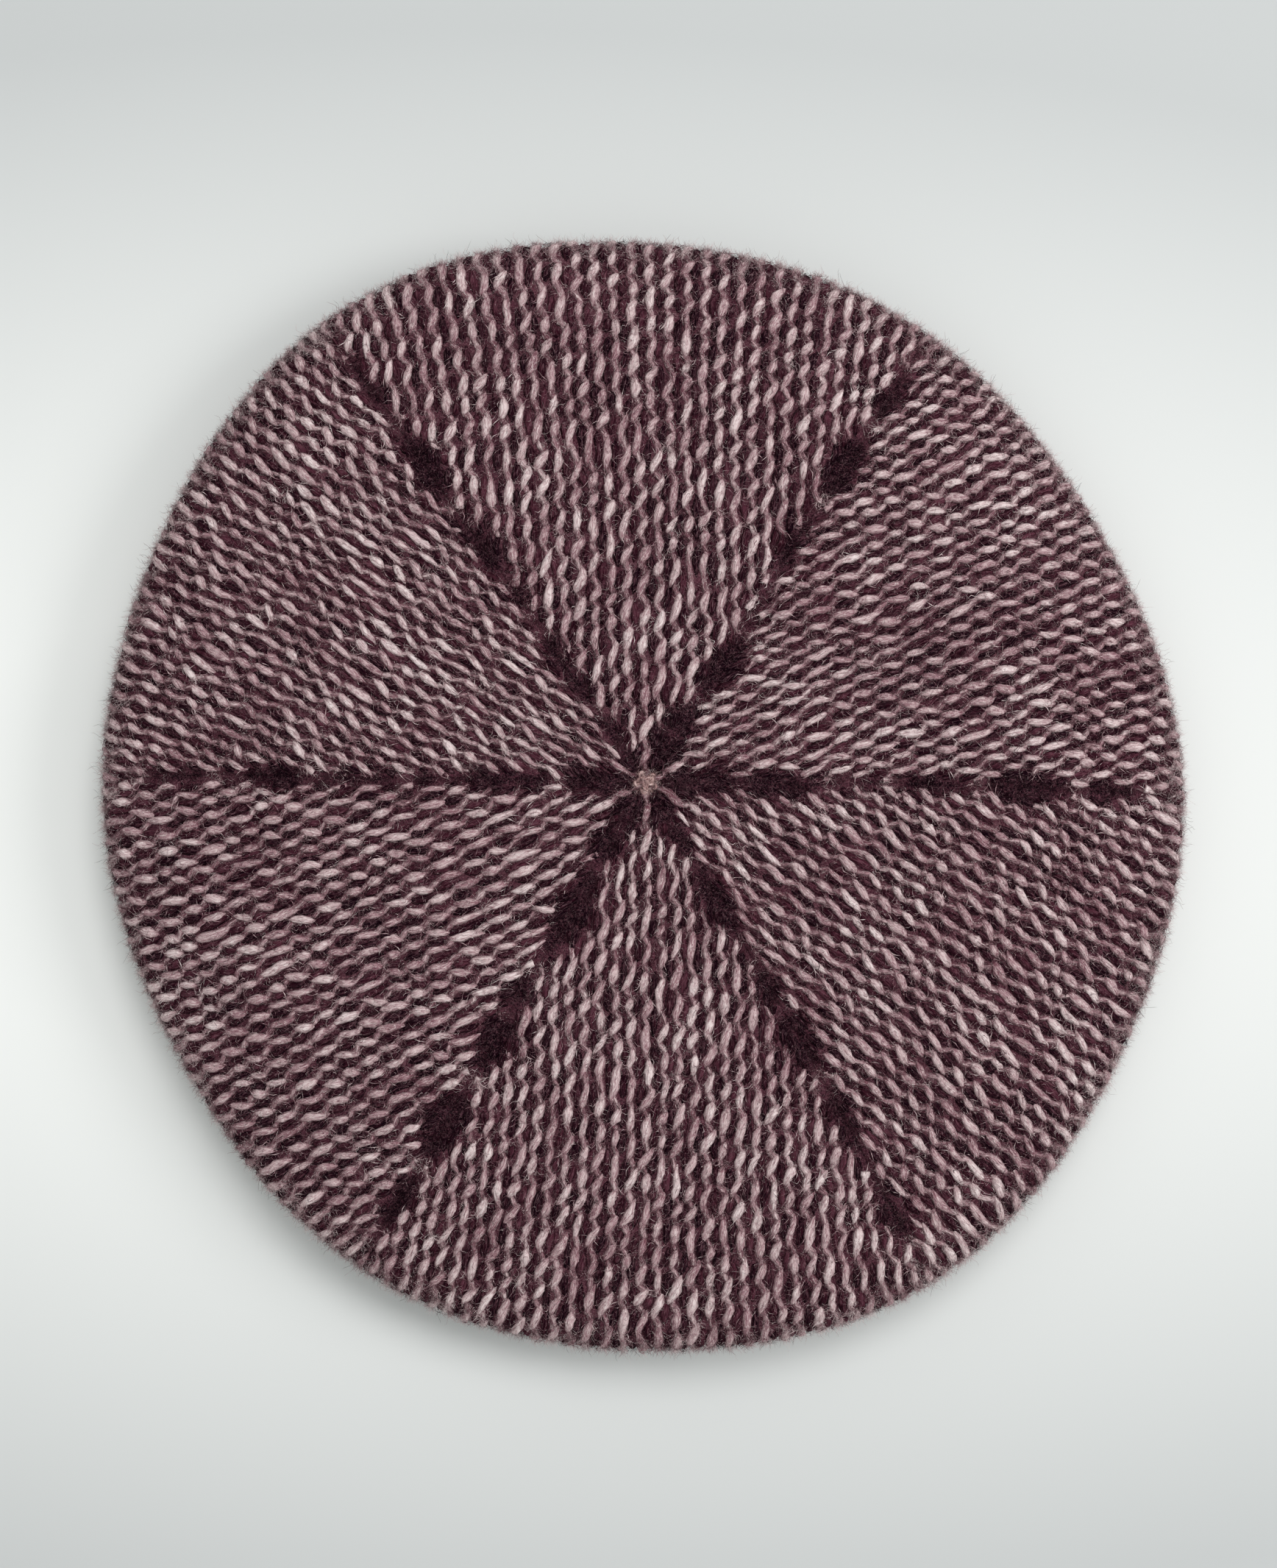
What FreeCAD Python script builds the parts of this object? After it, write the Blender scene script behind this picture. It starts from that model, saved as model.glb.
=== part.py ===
import FreeCAD, Part
import math
import os

# Knitted beret lying flat, crown up, on its ribbed band. Millimetres, +Z up.
# The origin is on the table under the middle of the head opening.
#
# The beret is one bag of knitted fabric, so its section is followed as one walk along the middle
# of the fabric: from the gathered centre out over the crown, round the rim, back in along the
# underside, round the increase round, and down the ribbed band to the cast-on edge. Each piece
# is a stretch of that walk turned about the Z axis, so neighbours meet face to face.

# Driving dimensions
crown_radius = 140.0        # outside of the rim
head_radius = 78.0          # inside of the ribbed band, unstretched
fabric = 3.0                # thickness of the fulled two-colour knit

# The crown
section_count = 6           # wedges of the crown, with one line of decreases between each two
decrease_width = 4.0        # width of a line of decreases
thread_radius = 2.0         # the drawn-up closing thread
thread_rounding = 0.8       # its rounded top and bottom
centre_radius = 7.0         # last gathered round of stitches
flat_radius = 80.0          # the crown is nearly flat as far out as the band holds it up
flat_drop = 2.5             # degrees that the crown turns down by over its flat middle
slope_drop = 16.0           # degrees that it turns down by between there and the rim

# The rim, the underside and the band
rim_bend_radius = 5.0       # bend of the rim, at the middle of the fabric
underside_rise = 14.0       # slope of the underside at the rim, degrees above level
underside_curve = 4.0       # degrees by which the underside flattens towards the band
increase_bend_radius = 3.0  # bend where the band widens into the underside
ribbed_height = 13.5        # ribbed band between the increase round and the cast-on edge
edge_height = 2.4           # cast-on edge
edge_thickness = 3.8        # the cast-on round is a little thicker than the fabric
edge_rounding = 0.7         # its outer corners

# Woven-in yarn ends, inside the beret
tail_width = 2.0
tail_thickness = 0.9
tail_length = 38.0
crown_tail_start = 0.1      # share of the flat crown at which the closing yarn's end begins
pattern_tail_start = 0.15   # share of the underside at which the pattern yarn's end begins
crown_tail_angle = 30.0
pattern_tail_angle = 210.0

sector_angle = 360.0 / section_count
fit_rounds = 30             # passes of fitting the walk to its driving sizes
rim_samples = 200           # points looked at round the rim's bend to find its widest


def left_of(heading):
    """The direction to the left of a heading in the (radius, height) plane: the fabric's outside."""
    return -math.sin(heading), math.cos(heading)


class Stretch:
    """A piece of the walk with a constant bend: a length of fabric and the angle it turns by."""

    def __init__(self, start, heading, length, turn_degrees):
        self.start = start
        self.heading = heading
        self.length = length
        self.turn = math.radians(turn_degrees)

    def point(self, share, offset):
        """The point a share of the way along, at an offset from the middle of the fabric."""
        heading = self.heading + self.turn * share
        bend_radius = self.length / self.turn if self.turn else 0.0
        first, here = left_of(self.heading), left_of(heading)
        if self.turn:
            radius = self.start[0] + bend_radius * (first[0] - here[0])
            height = self.start[1] + bend_radius * (first[1] - here[1])
        else:
            radius = self.start[0] + self.length * share * math.cos(heading)
            height = self.start[1] + self.length * share * math.sin(heading)
        return FreeCAD.Vector(radius + offset * here[0], 0.0, height + offset * here[1])

    def edge(self, offset, first_share=0.0, last_share=1.0):
        """The stretch's line at an offset, as an edge from one share to another."""
        first = self.point(first_share, offset)
        last = self.point(last_share, offset)
        if not self.turn:
            return Part.makeLine(first, last)
        middle = self.point((first_share + last_share) / 2.0, offset)
        return Part.Arc(first, middle, last).toShape()

    def following(self, length, turn_degrees):
        """The next stretch of the walk."""
        end = self.point(1.0, 0.0)
        return Stretch((end.x, end.z), self.heading + self.turn, length, turn_degrees)


def bend(radius, turn_degrees):
    """The length of fabric in a bend of that radius."""
    return radius * math.radians(abs(turn_degrees))


def walk(top_height, slope_length, underside_length):
    """The whole section, from the gathered centre to the top of the cast-on edge."""
    rim_turn = -(180.0 + underside_rise - flat_drop - slope_drop)
    increase_turn = 90.0 + underside_rise - underside_curve
    centre = Stretch((thread_radius, top_height - fabric / 2.0), 0.0, centre_radius - thread_radius, 0.0)
    flat = centre.following(flat_radius - centre_radius, -flat_drop)
    slope = flat.following(slope_length, -slope_drop)
    rim = slope.following(bend(rim_bend_radius, rim_turn), rim_turn)
    underside = rim.following(underside_length, underside_curve)
    increase = underside.following(bend(increase_bend_radius, increase_turn), increase_turn)
    ribs = increase.following(ribbed_height, 0.0)
    return {"centre": centre, "flat": flat, "slope": slope, "rim": rim,
            "underside": underside, "increase": increase, "ribs": ribs}


def fitted_walk():
    """The walk whose rim reaches crown_radius, whose band is at head_radius and whose edge is at 0."""
    top_height = 2.0 * ribbed_height
    slope_length = crown_radius - flat_radius
    underside_length = crown_radius - head_radius
    for _ in range(fit_rounds):
        section = walk(top_height, slope_length, underside_length)
        widest = max(section["rim"].point(sample / rim_samples, fabric / 2.0).x
                     for sample in range(rim_samples + 1))
        band_end = section["ribs"].point(1.0, 0.0)
        too_narrow = crown_radius - widest
        slope_length += too_narrow
        underside_length += too_narrow + band_end.x - head_radius - fabric / 2.0
        top_height -= band_end.z - edge_height
    return section, top_height


def profile(stretches, inner, outer):
    """The closed face between two offsets along a run of stretches, each (stretch, first, last)."""
    edges = [stretch.edge(outer, first, last) for stretch, first, last in stretches]
    edges += [stretch.edge(inner, last, first) for stretch, first, last in reversed(stretches)]
    last_stretch, _, last_share = stretches[-1]
    first_stretch, first_share, _ = stretches[0]
    edges.insert(len(stretches), Part.makeLine(last_stretch.point(last_share, outer),
                                               last_stretch.point(last_share, inner)))
    edges.append(Part.makeLine(first_stretch.point(first_share, inner),
                               first_stretch.point(first_share, outer)))
    return Part.Face(Part.Wire(edges))


def turned(face, first_angle=0.0, sweep=360.0):
    """A face of the (X, Z) plane turned about the Z axis, from first_angle, as one solid."""
    axis_start = FreeCAD.Vector(0, 0, 0)
    axis_direction = FreeCAD.Vector(0, 0, 1)
    placed = face.copy()
    placed.rotate(axis_start, axis_direction, first_angle)
    return placed.revolve(axis_start, axis_direction, sweep)


def ring(stretch):
    """A full ring of fabric along one stretch."""
    return turned(profile([(stretch, 0.0, 1.0)], -fabric / 2.0, fabric / 2.0))


def radial_strip(angle, width):
    """A tall upright slab from the axis outward, for cutting along one direction."""
    height = 4.0 * crown_radius
    slab = Part.makeBox(2.0 * crown_radius, width, height,
                        FreeCAD.Vector(0.0, -width / 2.0, -height / 2.0))
    slab.rotate(FreeCAD.Vector(0, 0, 0), FreeCAD.Vector(0, 0, 1), angle)
    return slab


def circular_edges(shape):
    return [edge for edge in shape.Edges if isinstance(edge.Curve, Part.Circle)]


def crown_face(section):
    """The section of the crown between its gathered centre and the rim."""
    return profile([(section["flat"], 0.0, 1.0), (section["slope"], 0.0, 1.0)],
                   -fabric / 2.0, fabric / 2.0)


def decrease_line(section, index):
    """The narrow line of double decreases between two wedges, from the centre to the rim."""
    angle = sector_angle * index
    sector = turned(crown_face(section), angle - sector_angle / 2.0, sector_angle)
    return sector.common(radial_strip(angle, decrease_width))


def crown_wedge(section, index):
    """One wedge of the crown, between two lines of decreases."""
    sector = turned(crown_face(section), sector_angle * index, sector_angle)
    for side in (index, index + 1):
        sector = sector.cut(radial_strip(sector_angle * side, decrease_width))
    return sector


def closing_thread(top_height):
    """The yarn drawn through the last stitches and pulled tight, as a small round-topped knot."""
    knot = Part.makeCylinder(thread_radius, fabric, FreeCAD.Vector(0, 0, top_height - fabric))
    return knot.makeFillet(thread_rounding, circular_edges(knot))


def cast_on_edge():
    """The cast-on round at the foot of the band, flat underneath, where the beret rests."""
    disc = Part.makeCylinder(head_radius + edge_thickness, edge_height)
    rounded_disc = disc.makeFillet(edge_rounding, circular_edges(disc))
    return rounded_disc.cut(Part.makeCylinder(head_radius, edge_height))


def yarn_tail(stretch, first_share, angle):
    """A yarn end woven in along the inner face of the fabric, towards the rim or the band."""
    inner_face = -fabric / 2.0
    last_share = first_share + tail_length / stretch.length
    face = profile([(stretch, first_share, last_share)], inner_face - tail_thickness, inner_face)
    sector = turned(face, angle - sector_angle / 2.0, sector_angle)
    return sector.common(radial_strip(angle, tail_width))


def only_solid(shape):
    """The one solid of a boolean's result."""
    solids = shape.Solids
    if len(solids) != 1:
        raise ValueError("expected one solid, got %d" % len(solids))
    return solids[0]


def all_nodes():
    section, top_height = fitted_walk()
    nodes = {}
    for index in range(section_count):
        nodes["crown_wedge_%d" % (index + 1)] = crown_wedge(section, index)
        nodes["decrease_line_%d" % (index + 1)] = decrease_line(section, index)
    nodes["crown_centre"] = ring(section["centre"])
    nodes["closing_thread"] = closing_thread(top_height)
    nodes["rim_turn"] = ring(section["rim"])
    nodes["underside"] = ring(section["underside"])
    nodes["increase_round"] = ring(section["increase"])
    nodes["ribbed_band"] = ring(section["ribs"])
    nodes["cast_on_edge"] = cast_on_edge()
    nodes["crown_yarn_tail"] = yarn_tail(section["flat"], crown_tail_start, crown_tail_angle)
    nodes["pattern_yarn_tail"] = yarn_tail(section["underside"], pattern_tail_start, pattern_tail_angle)
    return nodes


os.makedirs("parts", exist_ok=True)
for name, shape in all_nodes().items():
    solid = only_solid(shape)
    if not solid.isValid():
        raise ValueError("%s is not a valid solid" % name)
    solid.exportStep("parts/%s.step" % name)
    print("%-18s %9.1f mm3" % (name, solid.Volume))
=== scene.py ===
"""The looks of a knitted beret around its CAD frame. Sizes are in millimetres until a mesh is made.

The fabric is followed as one walk through its section, as in the CAD: from the crown's centre out to the
rim, back in along the underside, and down the band. A place on the fabric is a distance along that walk,
an angle round the Z axis, and a lift off the middle of the fabric. Every yarn is laid out in those three
numbers, and so follows the same surface.
"""
import bpy
import math
import numpy as np
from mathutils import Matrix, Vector


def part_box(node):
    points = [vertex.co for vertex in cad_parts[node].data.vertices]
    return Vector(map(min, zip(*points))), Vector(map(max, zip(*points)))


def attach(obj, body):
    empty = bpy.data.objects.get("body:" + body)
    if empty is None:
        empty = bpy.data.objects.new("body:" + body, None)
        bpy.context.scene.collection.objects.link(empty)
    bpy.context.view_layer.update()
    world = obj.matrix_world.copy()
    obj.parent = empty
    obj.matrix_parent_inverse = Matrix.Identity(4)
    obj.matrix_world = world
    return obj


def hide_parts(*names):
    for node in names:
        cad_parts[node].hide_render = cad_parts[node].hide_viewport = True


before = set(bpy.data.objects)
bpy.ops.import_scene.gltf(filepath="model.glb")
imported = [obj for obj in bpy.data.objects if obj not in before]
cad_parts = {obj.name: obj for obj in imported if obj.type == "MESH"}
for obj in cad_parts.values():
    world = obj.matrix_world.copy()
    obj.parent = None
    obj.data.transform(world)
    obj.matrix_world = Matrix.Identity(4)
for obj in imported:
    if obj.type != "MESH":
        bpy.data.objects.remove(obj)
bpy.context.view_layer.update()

MM = 0.001
UV_MAP = "OFBake"  # the name of the UV map that every piece's colours are laid out in

# -------- sizes
section_count = 6
sector = 2 * math.pi / section_count  # angle of one wedge of the crown
half_sector = sector / 2
wedge_axes = half_sector + np.arange(section_count) * sector
half_columns = 17  # columns on each side of a wedge's middle, at the rim
repeat = 7.1  # length of a pale stitch and its gap, along a column
column_shift = 1 / 3  # each column starts this share of a repeat after its neighbour
centre_pitch, pitch_growth = 3.45, 0.0036  # a column's width at the centre, and its growth per millimetre
widest_pitch = 3.9  # stitches get no wider in columns wider than this
radial_from, radial_to = 88, 130  # over these distances parallel columns turn into radial ones
round_from, round_to = 50, 134  # and over these, straight rows into round ones

flat_radius, flat_drop, slope_drop = 80.0, 2.5, 16.0
underside_rise, underside_curve, increase_bend = 14.0, 4.0, 3.0

# How the soft crown has been laid down: uneven line angles, an outline that isn't round, and an
# off-centre middle. Each outline wave is (waves round, height, angle of its first crest).
line_angles = (0.0, 58.0, 124.0, 178.0, 239.0, 301.0)
outline_waves = ((2, 4.0, -68.0), (3, 0.65, 1.0), (4, 0.45, 29.0), (6, 1.1, 1.0))
centre_shift = np.array([1.4, 3.6])
drag, drag_size = 1.5, 26.0  # how far the fabric is dragged sideways, and over what length
sags = ((0.9, 38.0, 7.3, 3.1), (0.35, 13.0, 31.7, 5.9))  # (height, size, place in the noise) of its sags
dimple_depth, dimple_radius = 1.6, 6.0  # how the gathered middle is sunk


# -------- the fabric's section
def node_box(name):
    low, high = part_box(name)
    return np.array(low) / MM, np.array(high) / MM


centre_box = node_box("crown_centre")
rim_box = node_box("rim_turn")
band_box = node_box("ribbed_band")
edge_box = node_box("cast_on_edge")
fabric = centre_box[1][2] - centre_box[0][2]
crown_top = centre_box[1][2]
centre_radius = centre_box[1][0]
crown_radius = rim_box[1][0]
head_radius = band_box[1][0] - fabric
crown_drop = math.radians(flat_drop + slope_drop)
rim_bend = (rim_box[1][2] - rim_box[0][2]) / (1 + math.cos(crown_drop)) - fabric / 2
straight_steps, arc_steps = 39, 159  # places on each stretch of the walk


class Walk:
    """The middle line of the fabric, as closely spaced places with their headings."""

    def __init__(self, height):
        self.radius, self.height, self.heading = [np.zeros(1)], [np.array([height])], [np.zeros(1)]

    def _end(self):
        return self.radius[-1][-1], self.height[-1][-1], self.heading[-1][-1]

    def _add(self, radius, height, heading):
        self.radius.append(radius)
        self.height.append(height)
        self.heading.append(heading)

    def straight(self, length):
        r, z, heading = self._end()
        steps = np.linspace(0, length, straight_steps + 1)[1:]
        headings = np.full(straight_steps, heading)
        self._add(r + steps * math.cos(heading), z + steps * math.sin(heading), headings)
        return self

    def arc(self, turn_degrees, bend=None, to_radius=None):
        r, z, first = self._end()
        last = first + math.radians(turn_degrees)
        if bend is None:
            bend = (to_radius - r) / (math.sin(last) - math.sin(first))
        else:
            bend = math.copysign(bend, turn_degrees)
        headings = np.linspace(first, last, arc_steps + 1)[1:]
        self._add(r + bend * (np.sin(headings) - math.sin(first)),
                  z - bend * (np.cos(headings) - math.cos(first)), headings)
        return self

    def mark(self):
        """Ends a node's stretch here, and returns how far along the walk that is."""
        r, z = np.concatenate(self.radius), np.concatenate(self.height)
        return float(np.hypot(np.diff(r), np.diff(z)).sum())

    def finished(self):
        self.r, self.z = np.concatenate(self.radius), np.concatenate(self.height)
        self.h = np.concatenate(self.heading)
        self.s = np.concatenate([[0], np.cumsum(np.hypot(np.diff(self.r), np.diff(self.z)))])


walk = Walk(crown_top - fabric / 2)
centre_end = walk.straight(centre_radius).mark()
walk.arc(-flat_drop, to_radius=flat_radius)
rim_start_radius = crown_radius - fabric / 2 - rim_bend * (1 - math.sin(crown_drop))
crown_end = walk.arc(-slope_drop, to_radius=rim_start_radius).mark()
rim_end = walk.arc(flat_drop + slope_drop - underside_rise - 180, bend=rim_bend).mark()
increase_radius = head_radius + fabric / 2 + increase_bend * (
    1 + math.sin(math.radians(underside_rise - underside_curve)))
underside_end = walk.arc(underside_curve, to_radius=increase_radius).mark()
increase_end = walk.arc(90 + underside_rise - underside_curve, bend=increase_bend).mark()
band_end = walk.straight(band_box[1][2] - band_box[0][2]).mark()
walk.finished()


def smooth(x, low, high):
    t = np.clip((x - low) / (high - low), 0, 1)
    return t * t * (3 - 2 * t)


def value_noise(seed, size=64):
    """A smooth noise of two numbers, from -1 to 1, that changes over one unit.

    Numbers added to its arguments only pick a place in it, so that no two uses look alike.
    """
    table = np.random.default_rng(seed).uniform(-1, 1, (size, size))

    def at(x, y):
        x, y = np.broadcast_arrays(np.asarray(x, float), np.asarray(y, float))
        i, j = np.floor(x).astype(int), np.floor(y).astype(int)
        u, v = x - i, y - j
        u, v = u * u * (3 - 2 * u), v * v * (3 - 2 * v)
        i0, i1, j0, j1 = i % size, (i + 1) % size, j % size, (j + 1) % size
        return ((table[i0, j0] * (1 - u) + table[i1, j0] * u) * (1 - v)
                + (table[i0, j1] * (1 - u) + table[i1, j1] * u) * v)

    return at


sag_noise = value_noise(1)
lump_noise = value_noise(2)
tone_noise = value_noise(3)


def crown_share(s):
    """1 over the crown, fading to 0 over the rim and the outer part of the underside."""
    return 1 - smooth(s, crown_end, rim_end + 35)


def laid_angle(angle):
    """The angle on the uneven crown of what is at this angle on an even one."""
    even = np.arange(section_count + 1) * sector
    laid = np.radians(np.array(line_angles + (360.0,)))
    turn = np.mod(angle, 2 * math.pi)
    return angle + np.interp(turn, even, laid - even)


def drape(s, radius, angle, height):
    """Places on the round, even beret moved to where the soft one lies."""
    share = crown_share(s)
    angle = angle + (laid_angle(angle) - angle) * share
    outline = sum(depth * np.cos(waves * (angle - math.radians(crest)))
                  for waves, depth, crest in outline_waves)
    out = radius / crown_radius
    radius = radius * (1 + outline / crown_radius * out * out)
    x, y = radius * np.cos(angle), radius * np.sin(angle)
    inward = (1 - out * out) * share
    pull = drag * inward * smooth(out, 0.05, 0.3)
    u, v = x / drag_size, y / drag_size
    x = x + centre_shift[0] * inward + pull * sag_noise(u + 11.2, v + 17.9)
    y = y + centre_shift[1] * inward + pull * sag_noise(u + 41.7, v + 3.3)
    sag = sum(rise * sag_noise(x / size + i, y / size + j) for rise, size, i, j in sags)
    dimple = -dimple_depth * np.exp(-(radius / dimple_radius) ** 2)
    height = height + (sag + dimple) * share
    return np.stack(np.broadcast_arrays(x, y, height), -1)


def place(s, angle, lift):
    """Places on the fabric, from the distance along its section, the angle and the lift."""
    s, angle, lift = np.broadcast_arrays(*(np.asarray(v, float) for v in (s, angle, lift)))
    heading = np.interp(s, walk.s, walk.h)
    radius = np.interp(s, walk.s, walk.r) - lift * np.sin(heading)
    height = np.interp(s, walk.s, walk.z) + lift * np.cos(heading)
    return drape(s, radius, angle, height)


def outward(s, angle):
    """The fabric's outward normal."""
    s, angle = np.broadcast_arrays(np.asarray(s, float), np.asarray(angle, float))
    heading = np.interp(s, walk.s, walk.h)
    angle = angle + (laid_angle(angle) - angle) * crown_share(s)
    level = -np.sin(heading)
    return np.stack([level * np.cos(angle), level * np.sin(angle), np.cos(heading)], -1)


# -------- where the stitches lie
def columns_across(s):
    """Columns of stitches between a wedge's middle and its edge, at a distance from the centre."""
    parallel = s / (2 * (centre_pitch + pitch_growth * s))
    sharpness = 1.1  # of the change to a steady number of columns near the rim
    gap = np.clip(sharpness * (parallel - half_columns), -60, 60)
    return parallel - np.log1p(np.exp(gap)) / sharpness


def column_angle(column, s):
    """The angle of a column from its wedge's middle. Columns are parallel inside, radial at the rim."""
    across = np.maximum(columns_across(s), 1e-6)
    # the columns beside a line of decreases are drawn in, all but the middle one
    gathered = 0.3 * np.exp(-np.maximum(across - np.abs(column), 0) / 1.3) * (np.abs(column) > 0.9)
    share = np.clip((column - np.sign(column) * gathered) / across, -1.001, 1.001)
    radial = smooth(s, radial_from, radial_to)
    return (1 - radial) * np.arcsin(share * math.sin(half_sector)) + radial * share * half_sector


def row_distance(column, s):
    """How far out a place lies, counted in rows, which are straight inside and round at the rim."""
    round_share = smooth(s, round_from, round_to)
    return s * (1 - (1 - round_share) * (1 - np.cos(column_angle(column, s))))


crown_s = np.arange(0.0, crown_end, 0.25)
crown_across = columns_across(crown_s)


def column_start(column):
    """The distance from the centre at which a column leaves the line of decreases."""
    return float(np.interp(abs(column), crown_across, crown_s))


# The lines of decreases: (from, to, half width in columns) of their dark patches, out from the centre.
dark_patches = ((2.0, 13.0, 1.15), (12.0, 22.0, 0.75), (24.0, 46.0, 0.7), (53.0, 62.0, 0.35),
                (65.0, 79.0, 0.55), (87.0, 105.0, 0.85), (112.0, 126.0, 0.5))
patch_outside, patch_inside = 1.5, 2.5  # how far a patch fades outside and inside its ends


def darkness(column, s, axis):
    """1 inside a dark patch of the nearest line of decreases, and 0 away from them."""
    line = np.mod(np.round((axis + np.sign(column) * half_sector) / sector), section_count)
    s = s + 3.0 * tone_noise(line * 5.3 + 0.5, s / 25)
    from_line = columns_across(s) - np.abs(column) + 0.3 * tone_noise(line * 7.7 + 0.5, s / 9)
    dark = np.zeros(np.shape(s))
    for low, high, half_width in dark_patches:
        begun = smooth(s, low - patch_outside, low + patch_inside)
        ended = smooth(s, high - patch_inside, high + patch_outside)
        share = np.clip((s - low) / (high - low), 0, 1)
        wide = half_width * (0.45 + 0.55 * np.sin(math.pi * share ** 0.8))
        dark = np.maximum(dark, begun * (1 - ended) * (1 - smooth(from_line, wide - 0.4, wide + 0.3)))
    return dark


# -------- meshes
def in_scene(name, data):
    """A new object in the scene."""
    thing = bpy.data.objects.new(name, data)
    bpy.context.scene.collection.objects.link(thing)
    return thing


def mesh_piece(name, vertices, face_groups, material, replaces, shade, grain, loop_uv):
    """A mesh object from places in millimetres and groups of faces, each group an array of one width.

    The material reads shade, from 0 to 1, and grain, the place at which it looks up its fine noise.
    """
    mesh = bpy.data.meshes.new(name)
    mesh.vertices.add(len(vertices))
    mesh.vertices.foreach_set("co", (np.asarray(vertices, np.float32) * MM).ravel())
    counts = np.concatenate([np.full(len(group), group.shape[1]) for group in face_groups])
    corners = np.concatenate([group.ravel() for group in face_groups]).astype(np.int32)
    starts = np.concatenate([[0], np.cumsum(counts)[:-1]]).astype(np.int32)
    mesh.loops.add(len(corners))
    mesh.loops.foreach_set("vertex_index", corners)
    mesh.polygons.add(len(counts))
    mesh.polygons.foreach_set("loop_start", starts)
    mesh.polygons.foreach_set("loop_total", counts.astype(np.int32))
    mesh.polygons.foreach_set("use_smooth", np.ones(len(counts), bool))
    mesh.update(calc_edges=True)
    for attribute, kind, key, values in (("shade", "FLOAT", "value", np.clip(shade, 0, 1)),
                                         ("grain", "FLOAT_VECTOR", "vector", grain)):
        data = mesh.attributes.new(attribute, kind, "POINT").data
        data.foreach_set(key, np.asarray(values, np.float32).ravel())
    mesh.uv_layers.new(name=UV_MAP).data.foreach_set("uv", np.asarray(loop_uv, np.float32).ravel())
    mesh.materials.append(material)
    piece = in_scene(name, mesh)
    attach(piece, "root")
    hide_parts(*replaces)


def unit(v):
    return v / np.maximum(np.linalg.norm(v, axis=-1, keepdims=True), 1e-9)


painted_side_shade = 0.2  # painted shade: how much darker a tube's sides are painted than its top, and twice that underneath where it meets the ground
root_reach = 1.3  # fibres start up to this many half widths to either side of a tube
root_rise = 0.68  # and up to this many half widths above its middle
fibre_shade = (-0.35, 0.15)  # range of a fibre's shade, less its root's
fibre_size = (0.7, 1.3)  # range of a fibre's thickness, over its style's
nearly_round = 6.28  # just under a full turn
strips_share = 0.6  # part of the UV map for tubes, where there are fibres too


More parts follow.
